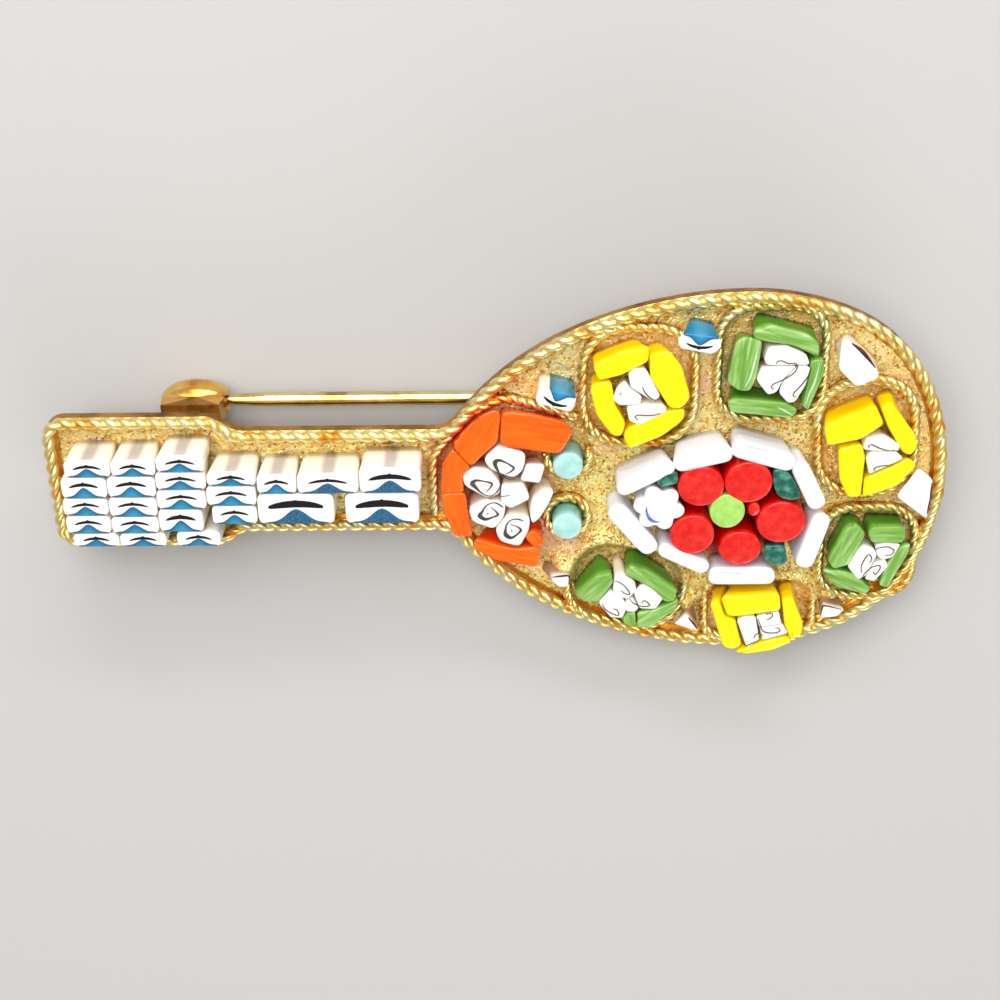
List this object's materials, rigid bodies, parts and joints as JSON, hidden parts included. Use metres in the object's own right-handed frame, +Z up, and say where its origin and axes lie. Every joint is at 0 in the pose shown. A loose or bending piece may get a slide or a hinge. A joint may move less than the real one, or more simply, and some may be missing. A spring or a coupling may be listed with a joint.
{
  "type": "micromosaic brooch",
  "caption": "Lute-shaped gilt brooch filled with standing glass tesserae in flower cells, with a twisted-wire border and a hinged pin and olive catch behind.",
  "frame": {"origin": "on the surface that the brooch lies on, under the middle of its bounding box", "axes": "+X from the narrow head to the round body; +Y across it, away from its lower rim; +Z up. The brooch lies face up on its lower rim and on its fittings, so its face leans 11.8 degrees from level."},
  "size_m": [0.05, 0.022, 0.0073],
  "materials": {
    "gilt_brass": "polished gilt, speckled on the wall",
    "pin_brass": "polished",
    "cement": "granular, salmon to gold",
    "white_glass": "opaque, glossy",
    "yellow_glass": "opaque, glossy",
    "green_glass": "opaque, glossy",
    "orange_glass": "opaque, glossy",
    "red_glass": "opaque, glossy",
    "lime_glass": "opaque, glossy",
    "turquoise_glass": "opaque, glossy",
    "dark_green_glass": "opaque, glossy"
  },
  "bodies": {
    "brooch": {"gilt_mount": "gilt_brass", "cement_bed": "cement", "handle_column_1": "white_glass", "handle_column_2": "white_glass", "handle_column_3": "white_glass", "handle_column_4": "white_glass", "handle_column_5": "white_glass", "handle_column_6": "white_glass", "handle_column_7": "white_glass", "northwest_flower_bars": "yellow_glass", "northwest_flower_heart": "white_glass", "north_flower_bars": "green_glass", "north_flower_heart": "white_glass", "northeast_flower_bars": "yellow_glass", "northeast_flower_heart": "white_glass", "southeast_flower_bars": "green_glass", "southeast_flower_heart": "white_glass", "south_flower_bars": "yellow_glass", "south_flower_heart": "white_glass", "southwest_flower_bars": "green_glass", "southwest_flower_heart": "white_glass", "orange_flower_bars": "orange_glass", "orange_flower_heart": "white_glass", "turquoise_rod_north": "turquoise_glass", "turquoise_rod_south": "turquoise_glass", "pear_white_bars": "white_glass", "pear_green_leaves": "dark_green_glass", "pear_white_floret": "white_glass", "pear_red_rods": "red_glass", "pear_lime_rod": "lime_glass", "corner_stone_west_top": "white_glass", "corner_stone_north_top": "white_glass", "corner_stone_northeast_top": "white_glass", "corner_stone_east_end": "white_glass", "corner_stone_southeast_low": "white_glass", "corner_stone_south_low": "white_glass", "corner_stone_southwest_low": "white_glass"},
    "pin": {"pin_stem": "pin_brass"}
  },
  "joints": [
    {"name": "pin_swing", "type": "hinge", "parent": "brooch", "child": "pin", "pos_m": [0.0151, 0.00403, 0.0012], "axis": [0, -0.9787, -0.2053], "range_deg": [0, 75]}
  ]
}
